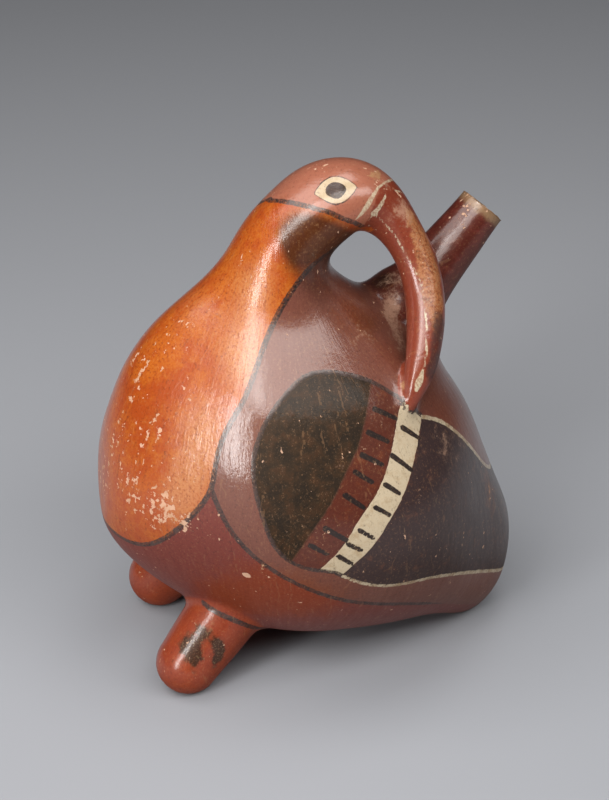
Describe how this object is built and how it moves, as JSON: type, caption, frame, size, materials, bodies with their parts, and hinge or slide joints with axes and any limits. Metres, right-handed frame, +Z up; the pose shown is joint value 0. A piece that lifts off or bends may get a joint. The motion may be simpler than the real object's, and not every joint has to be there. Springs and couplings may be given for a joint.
{
  "type": "single spout effigy vessel",
  "caption": "Hollow burnished pottery vessel shaped as a long-billed bird looking back, its bill curving down to the back as a loop, with a short slanted spout and small nub feet.",
  "frame": {"origin": "floor level under the middle of the body; the flat spots under the left foot, the right foot and the tail lie at z = 0", "axes": "+X towards the bird's tail, +Y towards the bird's right side, +Z up"},
  "size_m": [0.1529, 0.1209, 0.1868],
  "materials": {
    "fired_clay": "burnished slip, semi-gloss"
  },
  "bodies": {
    "root": {"vessel": "fired_clay"}
  },
  "joints": []
}
